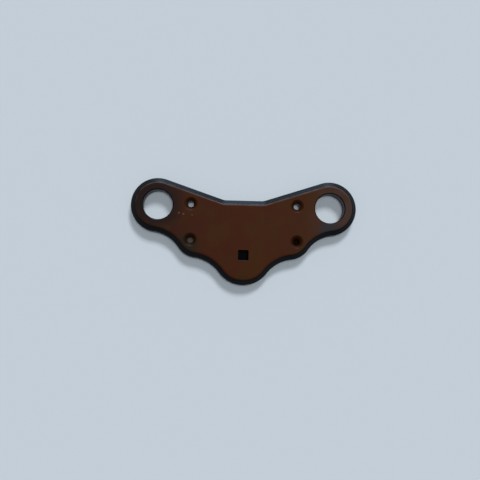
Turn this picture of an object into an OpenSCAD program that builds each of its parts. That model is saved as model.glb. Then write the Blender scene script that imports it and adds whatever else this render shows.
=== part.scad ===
// Top triple clamp of a small motorcycle: one flat plate that ties the two fork tubes together.
// Two closed fork rings, two shoulders that carry the lower screws, and a round nose, joined by
// concave fillets. A wide bevel runs all round the face.
// The plate lies on its back face, with its origin midway between the fork bores on that face.
// X runs along the line of the fork bores, -Y points to the nose and +Z out of the face.

/* [Plate] */
// Thickness of the plate
plate_t = 16; // [12:0.5:22]
// Width of the bevel round the face, seen from above
bevel_w = 5; // [2:0.5:6]
// Height of that bevel on the wall
bevel_h = 5; // [2:0.5:8]
// Small chamfer round the back face
edge_break = 0.8; // [0.3:0.1:1.5]

/* [Fork rings] */
// Distance between the two fork bores
fork_spacing = 180; // [168:1:204]
// Diameter of a fork bore
fork_bore_d = 31; // [26:0.5:36]
// Outer diameter of a fork ring
ring_d = 56.5; // [52:0.5:62]
// Chamfer at both mouths of a fork bore
bore_chamfer = 1; // [0.4:0.1:2]

/* [Top edge] */
// Height of the straight middle of the top edge above the line of the fork bores
top_edge_y = 6.6; // [3:0.2:9]
// Length of that straight middle, corner to corner
top_edge_w = 41; // [30:1:60]
// Radius in the corner between the straight middle and each arm
top_corner_r = 14; // [6:1:30]

/* [Screw holes] */
// Distance between the left and the right screws
screw_spacing_x = 111; // [104:0.5:114]
// Distance between the upper and the lower screws
screw_spacing_y = 37.5; // [34:0.5:40]
// Height of the upper screws above the line of the fork bores
upper_screw_y = 1.5; // [-2:0.5:3]
// Diameter of a screw hole; the upper two go right through
screw_hole_d = 6.6; // [5:0.1:8]
// Depth of the lower two, which are blind
lower_screw_depth = 11.5; // [8:0.5:13]
// Angle of the drill point at the bottom of a blind hole
drill_angle = 118; // [90:1:140]
// Diameter of the countersink at the face
countersink_d = 14; // [12:0.5:16]
// Full angle of the countersink
countersink_angle = 90; // [82:1:100]

/* [Shoulders] */
// Radius of the shoulder round a lower screw
shoulder_r = 24; // [22:0.5:27]
// How far the shoulder's centre sits inboard of its screw
shoulder_inboard = 7.5; // [5:0.5:9]
// How far the shoulder's centre sits above its screw
shoulder_above = 5.6; // [3:0.2:8]
// Radius of the concave fillet between a ring and its shoulder
ring_fillet_r = 37; // [28:1:50]

/* [Nose] */
// Distance from the line of the fork bores down to the nose's centre
nose_drop = 51.2; // [46:0.2:58]
// Radius of the nose
nose_r = 30.8; // [27:0.2:34]
// Radius of the concave fillet between a shoulder and the nose
nose_fillet_r = 39; // [28:1:55]
// Side of the square pocket in the nose
pocket_w = 10.5; // [8:0.5:14]
// Depth of the square pocket
pocket_depth = 12; // [4:0.5:13]
// Radius in the corners of the square pocket
pocket_corner_r = 1; // [0.5:0.1:3]

/* [Hidden] */
$fn = 128;

// How far a cut runs past the face that it opens on
overcut = 2;
// How far a cut goes past the point of touching a round edge, so that the two faces cross cleanly
bite = 0.01;
fork_bore_r = fork_bore_d / 2;
ring_r = ring_d / 2;
screw_hole_r = screw_hole_d / 2;
countersink_r = countersink_d / 2;
countersink_h = (countersink_r - screw_hole_r) / tan(countersink_angle / 2);
drill_tip = screw_hole_r / tan(drill_angle / 2);
screw_x = screw_spacing_x / 2;
lower_screw_y = upper_screw_y - screw_spacing_y;

// Centres of the round lobes on the right-hand side
ring_at = [fork_spacing / 2, 0];
shoulder_at = [screw_x - shoulder_inboard, lower_screw_y + shoulder_above];
nose_at = [0, -nose_drop];

// Centre of the circle of radius r that touches the circles at a and b from outside, on the right of a to b.
// Its distance to each centre is the sum of the two radii, so the three centres make a triangle with known sides.
function touching(a, ra, b, rb, r) =
    let (
        gap = norm(b - a),
        along = ((ra + r) ^ 2 - (rb + r) ^ 2 + gap ^ 2) / (2 * gap),
        across = sqrt((ra + r) ^ 2 - along ^ 2),
        way = (b - a) / gap
    )
    a + along * way + across * [way.y, -way.x];

ring_fillet_at = touching(shoulder_at, shoulder_r, ring_at, ring_r, ring_fillet_r);
nose_fillet_at = touching(nose_at, nose_r, shoulder_at, shoulder_r, nose_fillet_r);

// The arm's edge starts in the corner of the top edge and touches the ring's circle
corner_at = [top_edge_w / 2, top_edge_y];
to_ring = ring_at - corner_at;
arm_angle = atan2(to_ring.y, to_ring.x) + asin(ring_r / norm(to_ring));
arm_way = [cos(arm_angle), sin(arm_angle)];
arm_out = [-arm_way.y, arm_way.x];
arm_end = ring_at + ring_r * arm_out;
corner_run = top_corner_r * tan(arm_angle / 2);
corner_fillet_at = corner_at + [-corner_run, top_corner_r];
arm_start = corner_at + corner_run * arm_way;
top_end = corner_at - [corner_run, 0];

function mirrored(points) = [for (p = points) [-p.x, p.y]];
function reversed(points) = [for (i = [len(points) - 1 : -1 : 0]) points[i]];

// The web between the lobes, by its right-hand half: it runs out to the centres of the fillets
half_web = [
    top_end, corner_fillet_at, arm_start, arm_end, ring_at,
    ring_fillet_at, shoulder_at, nose_fillet_at, nose_at
];

// How far the edge stands in from the wall at each height, a little past both faces
edge_section = [
    [edge_break + overcut, -overcut],
    [0, edge_break],
    [0, plate_t - bevel_h],
    [bevel_w * (1 + overcut / bevel_h), plate_t + overcut]
];

// A round lobe with the plate's edge: a turned disc
module lobe(r) {
    rotate_extrude()
        polygon([
            [0, 0],
            [r - edge_break, 0],
            [r, edge_break],
            [r, plate_t - bevel_h],
            [r - bevel_w, plate_t],
            [0, plate_t]
        ]);
}

// What a concave fillet takes away: a turned plug that widens where the plate's edge stands in
module fillet_cut(r) {
    rotate_extrude()
        polygon(concat(
            [[0, -overcut]],
            [for (p = edge_section) [r + p.x, p.y]],
            [[0, plate_t + overcut]]
        ));
}

// What a straight edge takes away, on the left of the way from start to end
module straight_cut(start, end) {
    way = end - start;
    translate(start)
        rotate([90, 0, atan2(way.y, way.x) + 90])
            linear_extrude(norm(way))
                polygon(concat(
                    [[top_corner_r, -overcut]],
                    [for (p = edge_section) [-p.x, p.y]],
                    [[top_corner_r, plate_t + overcut]]
                ));
}

// The web and the lobes, with the web still square-edged and running out to the fillets' centres
module blank() {
    linear_extrude(plate_t)
        polygon(concat(half_web, mirrored(reversed(half_web))));
    translate(nose_at) lobe(nose_r);
    for (side = [0, 1]) mirror([side, 0, 0]) {
        translate(ring_at) lobe(ring_r);
        translate(shoulder_at) lobe(shoulder_r);
    }
}

// The cuts that give the web its outline and its bevel
module edge_cuts() {
    straight_cut(mirrored([top_end])[0], top_end);
    for (side = [0, 1]) mirror([side, 0, 0]) {
        straight_cut(arm_start - bite * arm_out, arm_end - bite * arm_out + overcut * arm_way);
        translate(corner_fillet_at) fillet_cut(top_corner_r + 2 * bite);
        translate(ring_fillet_at) fillet_cut(ring_fillet_r + bite);
        translate(nose_fillet_at) fillet_cut(nose_fillet_r + bite);
    }
}

// A bore with a chamfer at each mouth
module fork_bore() {
    flare = fork_bore_r + bore_chamfer + overcut;
    rotate_extrude()
        polygon([
            [0, -overcut],
            [flare, -overcut],
            [fork_bore_r, bore_chamfer],
            [fork_bore_r, plate_t - bore_chamfer],
            [flare, plate_t + overcut],
            [0, plate_t + overcut]
        ]);
}

// A hole drilled this deep from the face, with the drill's point below that, and countersunk in the face
module screw_hole(depth) {
    flare = countersink_r + overcut * tan(countersink_angle / 2);
    rotate_extrude()
        polygon([
            [0, plate_t - depth - drill_tip],
            [screw_hole_r, plate_t - depth],
            [screw_hole_r, plate_t - countersink_h],
            [flare, plate_t + overcut],
            [0, plate_t + overcut]
        ]);
}

// A blind square pocket with round corners, sunk from the face
module pocket() {
    flat_w = pocket_w - 2 * pocket_corner_r;
    corner = flat_w / 2;
    translate([0, 0, plate_t - pocket_depth])
        linear_extrude(pocket_depth + overcut) {
            square([pocket_w, flat_w], center = true);
            square([flat_w, pocket_w], center = true);
            for (x = [-corner, corner], y = [-corner, corner])
                translate([x, y]) circle(pocket_corner_r);
        }
}

module clamp_plate() {
    color([0.26, 0.15, 0.10])
        difference() {
            blank();
            edge_cuts();
            for (side = [0, 1]) mirror([side, 0, 0]) {
                translate(ring_at) fork_bore();
                translate([screw_x, upper_screw_y]) screw_hole(plate_t + overcut);
                translate([screw_x, lower_screw_y]) screw_hole(lower_screw_depth);
            }
            translate(nose_at) pocket();
        }
}

clamp_plate();
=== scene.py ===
import math

import bpy
import numpy as np
from mathutils import Matrix, Vector
from mathutils.geometry import delaunay_2d_cdt


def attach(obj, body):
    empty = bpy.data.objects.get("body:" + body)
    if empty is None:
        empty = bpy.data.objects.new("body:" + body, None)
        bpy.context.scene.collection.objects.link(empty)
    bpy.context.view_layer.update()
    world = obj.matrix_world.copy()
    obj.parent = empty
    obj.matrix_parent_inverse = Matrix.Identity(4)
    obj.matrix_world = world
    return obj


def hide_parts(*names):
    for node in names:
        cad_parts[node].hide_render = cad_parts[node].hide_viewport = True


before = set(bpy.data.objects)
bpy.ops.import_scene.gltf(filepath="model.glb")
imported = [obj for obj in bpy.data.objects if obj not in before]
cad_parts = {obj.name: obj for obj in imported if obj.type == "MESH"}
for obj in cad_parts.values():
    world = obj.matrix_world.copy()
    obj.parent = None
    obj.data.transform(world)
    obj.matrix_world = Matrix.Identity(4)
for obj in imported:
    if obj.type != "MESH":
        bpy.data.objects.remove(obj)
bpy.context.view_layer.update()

# The outer edge of the plate. The real one is cut from 16 mm aluminium plate, with a 5 mm bevel milled
# round the face and a small break round the back. Its edges are rounded over softly before it is coated.
plate_t = 0.016
bevel_w = 0.005
bevel_h = 0.005
back_break = 0.0008
break_soft_r = 0.0004
bevel_foot_soft_r = 0.0020
face_soft_r = 0.0040
ring_at = np.array([0.090, 0.0])
ring_r = 0.02825
shoulder_at = np.array([0.048, -0.0304])
shoulder_r = 0.024
ring_fillet_r = 0.037
nose_at = np.array([0.0, -0.0512])
nose_r = 0.0308
nose_fillet_r = 0.039
top_corner = np.array([0.0205, 0.0066])
top_corner_r = 0.014
turn = 2 * math.pi
step_length = 0.0008
step_angle = 0.06
fewest_steps = 5


def way_of(angle):
    """Unit vectors at these angles from the X axis: cosine and sine."""
    return np.stack([np.cos(angle), np.sin(angle)], axis=-1)


def heading(start, *ends):
    """Angles from the X axis of the ways from one point to each of the others."""
    return [math.atan2(end[1] - start[1], end[0] - start[0]) for end in ends]


def fillet_centre(a, ra, b, rb, r):
    """Centre of the circle of radius r that touches two circles from outside, on the right of a to b.

    The three centres make a triangle whose sides are the two sums of radii and the gap between a and b.
    """
    gap = np.linalg.norm(b - a)
    along = ((ra + r) ** 2 - (rb + r) ** 2 + gap ** 2) / (2 * gap)
    across = math.sqrt((ra + r) ** 2 - along ** 2)
    way = (b - a) / gap
    return a + along * way + across * np.array([way[1], -way[0]])


def arc(centre, r, start, end, out):
    """Rows of a point on a circle and the way out of the metal; out is 1 on a lobe and -1 in a hollow.

    A point is the centre plus r times the unit vector of its angle, which runs evenly from start to end
    in steps of about 0.8 mm or 0.06 radians, whichever is less.
    """
    sweep = abs(end - start)
    steps = max(fewest_steps, int(sweep * r / step_length), int(sweep / step_angle))
    ways = way_of(np.linspace(start, end, steps + 1))
    return np.hstack([centre + r * ways, out * ways])


nose_fillet = fillet_centre(nose_at, nose_r, shoulder_at, shoulder_r, nose_fillet_r)
ring_fillet = fillet_centre(shoulder_at, shoulder_r, ring_at, ring_r, ring_fillet_r)
slope = heading(top_corner, ring_at)[0] + math.asin(ring_r / np.linalg.norm(ring_at - top_corner))
corner_centre = top_corner + top_corner_r * np.array([-math.tan(slope / 2), 1])
right_half = np.vstack([
    arc(nose_at, nose_r, -math.pi / 2, *heading(nose_at, nose_fillet), 1),
    arc(nose_fillet, nose_fillet_r, *heading(nose_fillet, nose_at, shoulder_at), -1)[1:],
    arc(shoulder_at, shoulder_r, *heading(shoulder_at, nose_fillet, ring_fillet), 1)[1:],
    arc(ring_fillet, ring_fillet_r, *heading(ring_fillet, shoulder_at, ring_at), -1)[1:],
    arc(ring_at, ring_r, *heading(ring_at, ring_fillet), math.pi / 2 + slope, 1)[1:],
    arc(corner_centre, top_corner_r, slope - math.pi / 2, -math.pi / 2, -1),
    [[0, top_corner[1], 0, 1]],
])
outline = np.vstack([right_half, right_half[-2:0:-1] * [-1, 1, -1, 1]])


def soft_profile(corners, radii, steps=5):
    """A cross-section with rounded corners: rows of inset, height, and the way out of the metal.

    An arc of the given radius touches both sides of each corner but the first and last, which only say
    where the end sides come from. Its centre lies on the corner's bisector, at the radius over the
    cosine of half the bend, and its rows step evenly through the bend.
    """
    corners = np.asarray(corners, float)
    sides = np.diff(corners, axis=0)
    angles = np.arctan2(sides[:, 1], sides[:, 0])
    rows = []
    for corner, r, a, b in zip(corners[1:-1], radii, angles[:-1], angles[1:]):
        bend = (b - a + math.pi) % turn - math.pi
        hand = math.copysign(1, bend)
        centre = corner + hand * r / math.cos(bend / 2) * way_of(a + bend / 2 + math.pi / 2)
        ways = way_of(np.linspace(a, a + bend, steps + 1) - hand * math.pi / 2)
        rows.append(np.hstack([centre + r * ways, -hand * ways]))
    return np.vstack(rows)


def skin(path, profile):
    """A closed band, the profile carried along the path: its points, normals and four-sided faces.

    A point is the path's point less the inset times the way out there, at the profile's height. Its
    normal is the way out times minus the inset part of the profile's own normal, and its height part
    upright.
    """
    n, m = len(path), len(profile)
    point, out = path[:, None, :2], path[:, None, 2:]
    spots = np.empty((n, m, 3))
    spots[..., :2] = point - profile[:, :1] * out
    spots[..., 2] = profile[:, 1]
    normals = np.empty((n, m, 3))
    normals[..., :2] = -profile[:, 2:3] * out
    normals[..., 2] = profile[:, 3]
    i, j = np.meshgrid(np.arange(n), np.arange(m - 1), indexing="ij")
    k = (i + 1) % n
    quads = np.stack([i * m + j, k * m + j, k * m + j + 1, i * m + j + 1], axis=-1)
    return spots.reshape(-1, 3), normals.reshape(-1, 3), quads.reshape(-1, 4)


# How far the two end sides of each profile run in over the face, the back or a floor
run_in = 0.002
edge_foot = [[back_break + run_in, 0], [back_break, 0], [0, back_break]]
edge_rim = [[0, plate_t - bevel_h], [bevel_w, plate_t], [bevel_w + run_in, plate_t]]
edge_radii = [break_soft_r, break_soft_r, bevel_foot_soft_r, face_soft_r]
edge_profile = soft_profile(edge_foot + edge_rim, edge_radii, steps=8)

# The fork bores. They are bored right through for 31 mm fork tubes, with a 1 mm chamfer at each mouth
# that leads the tube in, and are coated black like the outer wall.
bore_r = 0.0155
bore_chamfer = 0.001
bore_soft_r = 0.0003
bore_foot = [[bore_chamfer + run_in, 0], [bore_chamfer, 0], [0, bore_chamfer]]
bore_rim = [[0, plate_t - bore_chamfer], [bore_chamfer, plate_t], [bore_chamfer + run_in, plate_t]]
bore_profile = soft_profile(bore_foot + bore_rim, [bore_soft_r] * 4)
bores = [(arc(side * ring_at, bore_r, turn, 0, -1)[:-1], bore_profile) for side in (-1, 1)]

# The four screw holes, countersunk at 90 degrees from the face for flush screws. The upper two are
# drilled through. The lower two stop 11.5 mm down, where the drill has left a 118 degree point.
screw_x = 0.0555
upper_screw_y = 0.0015
lower_screw_y = -0.036
screw_r = 0.0033
sink_r = 0.007
sink_w = sink_r - screw_r
sink_foot = plate_t - sink_w
blind_depth = 0.0115
drill_angle = math.radians(118)
drill_end = plate_t - blind_depth
drill_point = drill_end - screw_r / math.tan(drill_angle / 2)
tip_r = 0.0001
tip_soft_r = 0.0001
mouth_soft_r = 0.0002
sink_soft_r = 0.0003
sink_rim = [[0, sink_foot], [sink_w, plate_t], [sink_w + run_in, plate_t]]
tip_inset = tip_r - screw_r
tip = [[tip_inset - run_in, drill_point], [tip_inset, drill_point], [0, drill_end]]
through_profile = soft_profile([[run_in, 0], [0, 0]] + sink_rim, [mouth_soft_r] + [sink_soft_r] * 2)
blind_profile = soft_profile(tip + sink_rim, [tip_soft_r] + [sink_soft_r] * 3)
screws = [
    (arc(np.array([x, y]), screw_r, turn, 0, -1)[:-1], profile)
    for x in (-screw_x, screw_x)
    for y, profile in ((upper_screw_y, through_profile), (lower_screw_y, blind_profile))
]

# The square pocket in the nose, broached 12 mm deep with tight corners and a flat floor for a square peg
# or key. It is coated black like the bevel, and its black floor is painted shade at the bottom of the
# recess.
pocket_half = 0.00525
pocket_corner_r = 0.001
pocket_depth = 0.012
pocket_floor = plate_t - pocket_depth
floor_soft_r = 0.0004
rim_soft_r = 0.0003
pocket_wall = [[-run_in, pocket_floor], [0, pocket_floor], [0, plate_t], [run_in, plate_t]]
pocket_profile = soft_profile(pocket_wall, [floor_soft_r, rim_soft_r])
corner_off = pocket_half - pocket_corner_r
pocket_path = np.vstack([
    arc(nose_at + corner_off * np.array(to), pocket_corner_r, start, start - math.pi / 2, -1)
    for to, start in (((1, 1), math.pi / 2), ((1, -1), 0), ((-1, -1), -math.pi / 2), ((-1, 1), math.pi))
])

# The plate in one piece: its edge, hole walls, flat face and flat back share their points. Each wall is
# black from its foot up to the height given with it here. The brown coat of the face ends about two
# thirds of the way round its soft edge, and covers the back, the countersinks and the blind holes too.
black_top = plate_t - 0.0005
bands = [(outline, edge_profile, black_top)]
bands += [(path, profile, black_top) for path, profile in bores]
bands += [(path, profile, sink_foot if profile is through_profile else 0) for path, profile in screws]
bands.append((pocket_path, pocket_profile, plate_t))
spots, normals, walls, wall_coats, face_loops, back_loops, floor_loops = [], [], [], [], [], [], []
first = 0
for path, profile, black_up_to in bands:
    band_spots, band_normals, quads = skin(path, profile)
    foot = first + np.arange(len(path)) * len(profile)
    spots.append(band_spots)
    normals.append(band_normals)
    walls.append(quads + first)
    wall_coats.append(np.tile(profile[:-1, 1] < black_up_to, len(path)))
    face_loops.append(foot + len(profile) - 1)
    if profile[0, 1] < back_break:
        back_loops.append(foot)
    else:
        floor_loops.append((foot, black_up_to > 0))
    first += len(band_spots)
spots, normals, walls = np.concatenate(spots), np.concatenate(normals), np.concatenate(walls)
to_mm = 1000
inside_first_loop = 1
weld = 1e-6


def flat_fill(loops, up):
    """Triangles that fill the first loop less the others: a constrained Delaunay mesh of their points.

    A triangle in a hole has its middle inside that hole: the square pocket is tested by its half width
    and a round hole by its radius. The sums are done in millimetres.
    """
    ids = np.concatenate(loops)
    flat = spots[ids, :2] * to_mm
    starts = np.cumsum([0] + [len(loop) for loop in loops])
    edges = [(a + i, a + (i + 1) % (b - a)) for a, b in zip(starts, starts[1:]) for i in range(b - a)]
    points = [Vector(p) for p in flat]
    _, _, faces, same, _, _ = delaunay_2d_cdt(points, edges, [], inside_first_loop, weld)
    tri = np.array([[same[i][0] for i in f] for f in faces])
    middle = flat[tri].mean(axis=1)
    keep = np.ones(len(tri), bool)
    for loop in loops[1:]:
        hole = spots[loop, :2] * to_mm
        away = np.abs(middle - hole.mean(axis=0))
        reach = np.ptp(hole, axis=0) / 2
        square = len(loop) == len(pocket_path)
        keep &= (away > reach).any(axis=1) if square else np.linalg.norm(away, axis=1) > reach[0]
    tri = ids[tri[keep]]
    return tri if up else tri[:, ::-1]


flats = [flat_fill(face_loops, True), flat_fill(back_loops, False)]
flats += [flat_fill([loop], True) for loop, _ in floor_loops]
# Material 0 is the brown coat and material 1 the black one
# The pocket's floor takes the black coat, painted shade at the bottom of the recess
flat_coats = np.repeat([0, 0] + [black for _, black in floor_loops], [len(flat) for flat in flats])
mesh = bpy.data.meshes.new("plate")
mesh.from_pydata(spots, [], walls.tolist() + np.vstack(flats).tolist())
mesh.polygons.foreach_set("use_smooth", np.ones(len(mesh.polygons), bool))
mesh.polygons.foreach_set("material_index", np.concatenate(wall_coats + [flat_coats]).astype(np.int32))
mesh.normals_split_custom_set_from_vertices(normals)

# How much each point is rubbed: most halfway round the face's soft edges, and 0 on the face, on the bevels
# and below them. Edges that look to the +Y side, towards the key light, get more than those that look to
# the nose; that extra is a painted highlight.
rub_everywhere = 0.8
painted_highlight_upper = 0.35
soft_edge_tilt = math.pi / 4
tilt = np.arccos(np.clip(normals[:, 2], -1, 1))
facing = normals[:, 1] / np.maximum(np.hypot(normals[:, 0], normals[:, 1]), 0.001)
halfway = np.sin(math.pi * tilt / soft_edge_tilt) ** 2
rubbing_and_highlight = np.where(tilt < soft_edge_tilt, halfway * (rub_everywhere + painted_highlight_upper * facing), 0)
rub_and_highlight = mesh.attributes.new("rub_and_highlight", "FLOAT", "POINT")
rub_and_highlight.data.foreach_set("value", rubbing_and_highlight)
plate = bpy.data.objects.new("plate", mesh)
bpy.context.scene.collection.objects.link(plate)
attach(plate, "root")
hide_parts("clamp_plate")


# The face's coat, a satin red-brown sprayed over face and back, with a pebbled grain and olive blotches.
# It is painted darker round the left ring and the lower left shoulder as painted shade, and painted greyer
# towards the right ring as a painted sheen. Its edge and the places under screw heads are worn, with a
# painted highlight on the edges that face +Y, and the countersinks and holes are painted darker as painted
# shade. It has three chips, and one blind hole holds dust.
def feed(tree, node, **inputs):
    """Fills or links a node's inputs. Each is named, with _ for a space, or numbered, as in _0."""
    for key, value in inputs.items():
        socket = node.inputs[int(key[1:])] if key[0] == "_" else node.inputs[key.replace("_", " ")]
        if isinstance(value, bpy.types.NodeSocket):
            tree.links.new(value, socket)
        else:
            socket.default_value = value


def add(tree, kind, settings=(), **inputs):
    """Puts a node in a tree, with its settings and its inputs."""
    node = tree.nodes.new(kind)
    for key, value in dict(settings).items():
        setattr(node, key, value)
    feed(tree, node, **inputs)
    return node


def reckon(tree, operation, *values):
    """The result of a maths node, such as ADD, on these values."""
    inputs = {f"_{i}": value for i, value in enumerate(values)}
    return add(tree, "ShaderNodeMath", {"operation": operation}, **inputs).outputs[0]


def spread(tree, value, start, end, low=0.0, high=1.0, kind="SMOOTHSTEP"):
    """The value mapped so that start gives low and end gives high, held at both and eased between."""
    ends = {"From_Min": start, "From_Max": end, "To_Min": low, "To_Max": high}
    return add(tree, "ShaderNodeMapRange", {"interpolation_type": kind}, Value=value, **ends).outputs[0]


def blend(tree, share, under, over):
    """The colour under where share is 0, the colour over where it is 1, and a mix of both between."""
    return add(tree, "ShaderNodeMix", {"data_type": "RGBA"}, _0=share, _6=under, _7=over).outputs[2]


def noise(tree, place, scale, detail, roughness=0.5):
    """A cloudy pattern between 0 and 1: scale sets its clouds to the metre, and detail adds finer ones."""
    settings = {"Scale": scale, "Detail": detail, "Roughness": roughness}
    return add(tree, "ShaderNodeTexNoise", Vector=place, **settings).outputs[0]


def distance(tree, place, spot):
    """How far a place is from a spot."""
    operation = {"operation": "DISTANCE"}
    return add(tree, "ShaderNodeVectorMath", operation, _0=place, _1=spot).outputs["Value"]


def nearness(tree, place, spot, reach, core, most=1.0):
    """This is most within core of the spot, and falls softly to 0 at reach."""
    return spread(tree, distance(tree, place, spot), reach, core, high=most)


def new_group(name, inputs, outputs):
    """An empty shader node group, the sockets of what it is given, and the node that puts it out."""
    group = bpy.data.node_groups.new(name, "ShaderNodeTree")
    for socket, kind in inputs.items():
        group.interface.new_socket(socket, in_out="INPUT", socket_type="NodeSocket" + kind)
    for socket in outputs:
        group.interface.new_socket(socket, in_out="OUTPUT", socket_type="NodeSocketFloat")
    return group, group.nodes.new("NodeGroupInput").outputs, group.nodes.new("NodeGroupOutput")


def use(tree, group, **inputs):
    """The outputs of a shader group that is put in a tree with these inputs."""
    return add(tree, "ShaderNodeGroup", {"node_tree": group}, **inputs).outputs


def new_paint(name):
    """A new material, its node tree, its shader, and the Object coordinates that its patterns lie in."""
    paint = bpy.data.materials.new(name)
    paint.use_nodes = True
    tree = paint.node_tree
    return paint, tree, tree.nodes["Principled BSDF"], add(tree, "ShaderNodeTexCoord").outputs["Object"]


# What any sprayed coat has: a fine grain, a slow drift, and smears drawn out along X
coat_group, given, put = new_group(
    "Sprayed coat",
    {"Place": "Vector", "Grain scale": "Float", "Drift scale": "Float"},
    ["Grain", "Drift", "Smear"],
)
smear_scales = (60, 240, 60)
times = {"operation": "MULTIPLY"}
grain = noise(coat_group, given["Place"], given["Grain scale"], detail=3.0)
drift = noise(coat_group, given["Place"], given["Drift scale"], detail=2.0)
drawn_out = add(coat_group, "ShaderNodeVectorMath", times, _0=given["Place"], _1=smear_scales).outputs[0]
smear = noise(coat_group, drawn_out, scale=1.0, detail=4.0, roughness=0.65)
feed(coat_group, put, Grain=grain, Drift=drift, Smear=smear)

# A chip in a coat, a spot with a ragged edge
chip_group, given, put = new_group(
    "Chip", {"Place": "Vector", "Centre": "Vector", "Radius": "Float"}, ["Mask"]
)
ragged = noise(chip_group, given["Place"], scale=900.0, detail=2.0)
away = distance(chip_group, given["Place"], given["Centre"])
radii_away = reckon(chip_group, "DIVIDE", away, given["Radius"])
wander = reckon(chip_group, "ADD", radii_away, ragged)
feed(chip_group, put, Mask=spread(chip_group, wander, start=1.5, end=1.1))

# Wear, and the painted highlight on edges that face +Y, broken into patches: where the amount and a noise
# together come to enough
wear_and_highlight_group, given, put = new_group(
    "Wear and painted highlight", {"Place": "Vector", "Amount": "Float", "Patch scale": "Float"}, ["Mask"]
)
patches = noise(wear_and_highlight_group, given["Place"], given["Patch scale"], detail=5.0)
level = reckon(wear_and_highlight_group, "ADD", given["Amount"], patches)
feed(wear_and_highlight_group, put, Mask=spread(wear_and_highlight_group, level, start=1.05, end=1.75))

# Colours along X: the coat's brown in the middle, painted darker at the left end as painted shade and
# greyer at the right end as a painted sheen
coat_tone_and_painted_light_along = [
    (-0.110, (0.0125, 0.0070, 0.0065, 1)),
    (-0.090, (0.0150, 0.0065, 0.0050, 1)),
    (-0.070, (0.0400, 0.0095, 0.0022, 1)),
    (0.000, (0.0480, 0.0103, 0.0018, 1)),
    (0.070, (0.0470, 0.0115, 0.0032, 1)),
    (0.110, (0.0520, 0.0280, 0.0220, 1)),
]
half_length = 0.12
drift_reach = 0.05
olive_tone = (0.0440, 0.0150, 0.0016, 1)
olive_share = 0.7
# Spots on the coat: painted shade round the left ring and the lower left shoulder, a painted sheen on the
# lower right ring, and an orange-brown stain at the nose
painted_shade_and_stains = [
    ((-0.0920, 0.0020), 0.036, (0.0125, 0.0058, 0.0052, 1)),
    ((-0.0600, -0.0430), 0.018, (0.0180, 0.0115, 0.0050, 1)),
    ((0.0900, -0.0240), 0.016, (0.0280, 0.0240, 0.0270, 1)),
    ((0.0000, -0.0790), 0.014, (0.0360, 0.0125, 0.0015, 1)),
]
# Pale tone for wear, and for the painted highlight on soft edges that face +Y
rub_and_highlight_tone = (0.086, 0.050, 0.042, 1)
rub_reach = 0.0075
rub_core = 0.003
screw_rubs = [
    ((-0.0555, -0.0370), 1.00),
    ((-0.0580, 0.0010), 0.75),
    ((0.0545, -0.0400), 0.60),
    ((0.0555, -0.0010), 0.55),
]
wear_patches = 160.0
# Painted shade: the countersinks and holes are painted darker from 1 mm to 2.8 mm below the face
painted_shade_sink_tone = (0.0170, 0.0055, 0.0018, 1)
painted_shade_sink_fade = (0.0010, 0.0028)
dust_tone = (0.20, 0.18, 0.15, 1)
dusty_spot = (-0.0555, -0.0366, drill_end)
dust_reach = 0.006
dust_core = 0.001
dust_share = 0.9
chip_tone = (0.125, 0.048, 0.014, 1)
chip_places = [((-0.0677, -0.0085), 0.0011), ((-0.0630, -0.0095), 0.0012), ((-0.0540, -0.0103), 0.0008)]

face_coat, tree, shader, place = new_paint("satin_brown_coat")
coat = use(tree, coat_group, Place=place, Grain_scale=1100.0, Drift_scale=22.0)
along, _, height = add(tree, "ShaderNodeSeparateXYZ", Vector=place).outputs
wobble = reckon(tree, "MULTIPLY_ADD", coat["Drift"], drift_reach, -drift_reach / 2)
drifted = reckon(tree, "ADD", along, wobble)
share = spread(tree, drifted, -half_length, half_length, kind="LINEAR")
ramp = add(tree, "ShaderNodeValToRGB", Fac=share)
stops = ramp.color_ramp.elements
while len(stops) < len(coat_tone_and_painted_light_along):
    stops.new(0.5)
for stop, (x, colour) in zip(stops, coat_tone_and_painted_light_along):
    stop.position = (x + half_length) / (2 * half_length)
    stop.color = colour
clouds = noise(tree, place, scale=48.0, detail=2.0)
mottle = spread(tree, clouds, start=0.45, end=0.65, high=olive_share)
tone = blend(tree, mottle, ramp.outputs["Color"], olive_tone)
# Painted shade and sheen spots, and the nose's stain
for (x, y), reach, colour in painted_shade_and_stains:
    tone = blend(tree, nearness(tree, place, (x, y, plate_t), reach, reach / 3), tone, colour)
# Edge wear plus a painted highlight on the edges that face +Y
amount = add(tree, "ShaderNodeAttribute", {"attribute_name": "rub_and_highlight"}).outputs["Fac"]
for (x, y), strength in screw_rubs:
    pressed = nearness(tree, place, (x, y, plate_t), rub_reach, rub_core, strength)
    amount = reckon(tree, "MAXIMUM", amount, pressed)
wear_and_highlight = use(tree, wear_and_highlight_group, Place=place, Amount=amount, Patch_scale=wear_patches)["Mask"]
tone = blend(tree, wear_and_highlight, tone, rub_and_highlight_tone)
# Painted shade in the countersinks and holes, darker below the face but not on the back
down = spread(tree, reckon(tree, "SUBTRACT", plate_t, height), *painted_shade_sink_fade)
painted_sink_shade = reckon(tree, "MULTIPLY", down, reckon(tree, "GREATER_THAN", height, back_break))
tone = blend(tree, painted_sink_shade, tone, painted_shade_sink_tone)
dusty = nearness(tree, place, dusty_spot, dust_reach, dust_core, dust_share)
tone = blend(tree, reckon(tree, "MULTIPLY", dusty, painted_sink_shade), tone, dust_tone)
chips = 0.0
for (x, y), radius in chip_places:
    chip = use(tree, chip_group, Place=place, Centre=(x, y, plate_t), Radius=radius)
    chips = reckon(tree, "MAXIMUM", chip["Mask"], chips)
tone = blend(tree, chips, tone, chip_tone)
rough = spread(tree, coat["Smear"], start=0.3, end=0.7, low=0.48, high=0.62, kind="LINEAR")
relief = reckon(tree, "SUBTRACT", coat["Grain"], chips)
bump = add(tree, "ShaderNodeBump", Height=relief, Strength=0.25, Distance=0.00012).outputs["Normal"]
feed(tree, shader, Base_Color=tone, Roughness=rough, Normal=bump, Specular_IOR_Level=0.15)
plate.data.materials.append(face_coat)

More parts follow.
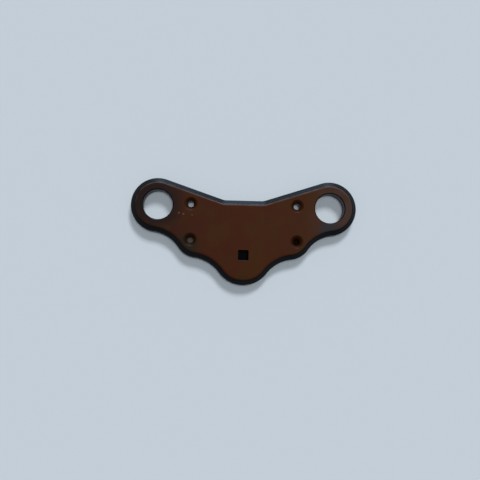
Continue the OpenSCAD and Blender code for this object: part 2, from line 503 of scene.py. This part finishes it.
# The black coat on the bevel, the outer wall, the fork bores, the through holes' walls and the pocket is
# glossier than the face's, with a shallower grain. It is rubbed paler along the face's soft edge too, with
# a painted highlight added where that edge faces +Y, and the bevel takes a cool shine from whatever is low
# beyond it.
black = (0.0018, 0.0032, 0.0045, 1)
worn_black = (0.0045, 0.0066, 0.0095, 1)
rub_and_highlight_black = (0.078, 0.056, 0.056, 1)

edge_coat, tree, shader, place = new_paint("gloss_black_coat")
coat = use(tree, coat_group, Place=place, Grain_scale=700.0, Drift_scale=35.0)
shade = spread(tree, coat["Smear"], start=0.5, end=0.75, kind="LINEAR")
tone = blend(tree, shade, black, worn_black)
amount = add(tree, "ShaderNodeAttribute", {"attribute_name": "rub_and_highlight"}).outputs["Fac"]
wear_and_highlight = use(tree, wear_and_highlight_group, Place=place, Amount=amount, Patch_scale=wear_patches)["Mask"]
tone = blend(tree, wear_and_highlight, tone, rub_and_highlight_black)
rough = spread(tree, coat["Drift"], start=0.3, end=0.7, low=0.28, high=0.40, kind="LINEAR")
bump = add(tree, "ShaderNodeBump", Height=coat["Grain"], Strength=0.15, Distance=0.0001).outputs["Normal"]
feed(tree, shader, Base_Color=tone, Roughness=rough, Normal=bump, Specular_IOR_Level=0.14)
plate.data.materials.append(edge_coat)

# The floor is a plain pale matt sheet, wide enough to reach the horizon in a low view. So that no hard
# horizon shows, it is painted darker, a painted falloff of light, to the grey of the room from 0.45 m to 8
# m away, by the distance's logarithm.
floor_tone = (0.60, 0.67, 0.74, 1)
far_tone = (0.158, 0.164, 0.168, 1)
fade_decades = (-0.35, 0.9)
floor_reach = 20
floor_z = -0.0002
floor_mesh = bpy.data.meshes.new("floor")
floor_sides = ((-1, -1), (1, -1), (1, 1), (-1, 1))
floor_corners = [(x * floor_reach, y * floor_reach, floor_z) for x, y in floor_sides]
floor_mesh.from_pydata(floor_corners, [], [(0, 1, 2, 3)])
floor = bpy.data.objects.new("floor", floor_mesh)
bpy.context.scene.collection.objects.link(floor)
floor_paper, tree, shader, place = new_paint("pale_paper")
away = add(tree, "ShaderNodeVectorMath", {"operation": "LENGTH"}, _0=place).outputs["Value"]
# Painted falloff of light: the floor is painted darker with distance
fade = spread(tree, reckon(tree, "LOGARITHM", away, 10.0), *fade_decades)
tone = blend(tree, fade, floor_tone, far_tone)
feed(tree, shader, Base_Color=tone, Roughness=0.9, Specular_IOR_Level=0.0)
floor.data.materials.append(floor_paper)

# The light is a plain studio's: a soft key from beyond the top edge, a soft fill from above and an even
# dim room. The fill shows in no reflection, so that the satin face keeps its colour. A cool low light
# beyond the top edge shows only in reflections, and gives the upper bevels the photograph's shine.
room_tone = (0.92, 0.96, 1.0, 1)
room_strength = 0.16
key_rise = math.radians(47)
low_rise = math.radians(3)
low_tone = (0.50, 0.70, 1.0)
room = bpy.data.worlds.new("room")
room.use_nodes = True
feed(room.node_tree, room.node_tree.nodes["Background"], Color=room_tone, Strength=room_strength)
bpy.context.scene.world = room


def sun(name, place, energy, wide, tone=(1, 1, 1)):
    """A far lamp that shines from place towards the origin and looks this many degrees wide."""
    light = bpy.data.lights.new(name, "SUN")
    light.energy = energy
    light.angle = math.radians(wide)
    light.color = tone
    holder = bpy.data.objects.new(name, light)
    holder.location = place
    holder.rotation_euler = (-Vector(place)).to_track_quat("-Z", "Y").to_euler()
    bpy.context.scene.collection.objects.link(holder)
    holder.visible_camera = False
    return holder


sun("key", (0.25, 1.0, math.tan(key_rise)), energy=1.9, wide=16)
fill = sun("fill", (0.03, 0.02, 1.0), energy=1.03, wide=14)
fill.visible_glossy = False
low = sun("low", (0.05, 1.0, math.tan(low_rise)), energy=2.2, wide=20, tone=low_tone)
low.visible_diffuse = False

# The camera looks down on the plate from a little to the left and a little beyond the nose, as the
# photograph does. Its place and its three small tilts were set on the holes and rings in the photograph.
photo_width = 480
focal_length_px = 800
sensor_width = 36
camera_at = Vector((-0.0394, -0.1078, 0.8430))
tilt, yaw, roll = math.radians(5.0), math.radians(2.47), math.radians(1.15)
behind = Vector((-math.sin(yaw) * math.cos(tilt), -math.sin(tilt), math.cos(yaw) * math.cos(tilt)))
level = Vector((0, 1, 0)).cross(behind).normalized()
upright = behind.cross(level)
right = math.cos(roll) * level + math.sin(roll) * upright
up = math.cos(roll) * upright - math.sin(roll) * level
lens = bpy.data.cameras.new("camera")
lens.sensor_width = sensor_width
lens.lens = sensor_width * focal_length_px / photo_width
lens.clip_start = 0.01
camera = bpy.data.objects.new("camera", lens)
camera.matrix_world = Matrix.Translation(camera_at) @ Matrix((right, up, behind)).transposed().to_4x4()
bpy.context.scene.collection.objects.link(camera)
bpy.context.scene.camera = camera
bpy.context.scene.view_settings.view_transform = "Standard"
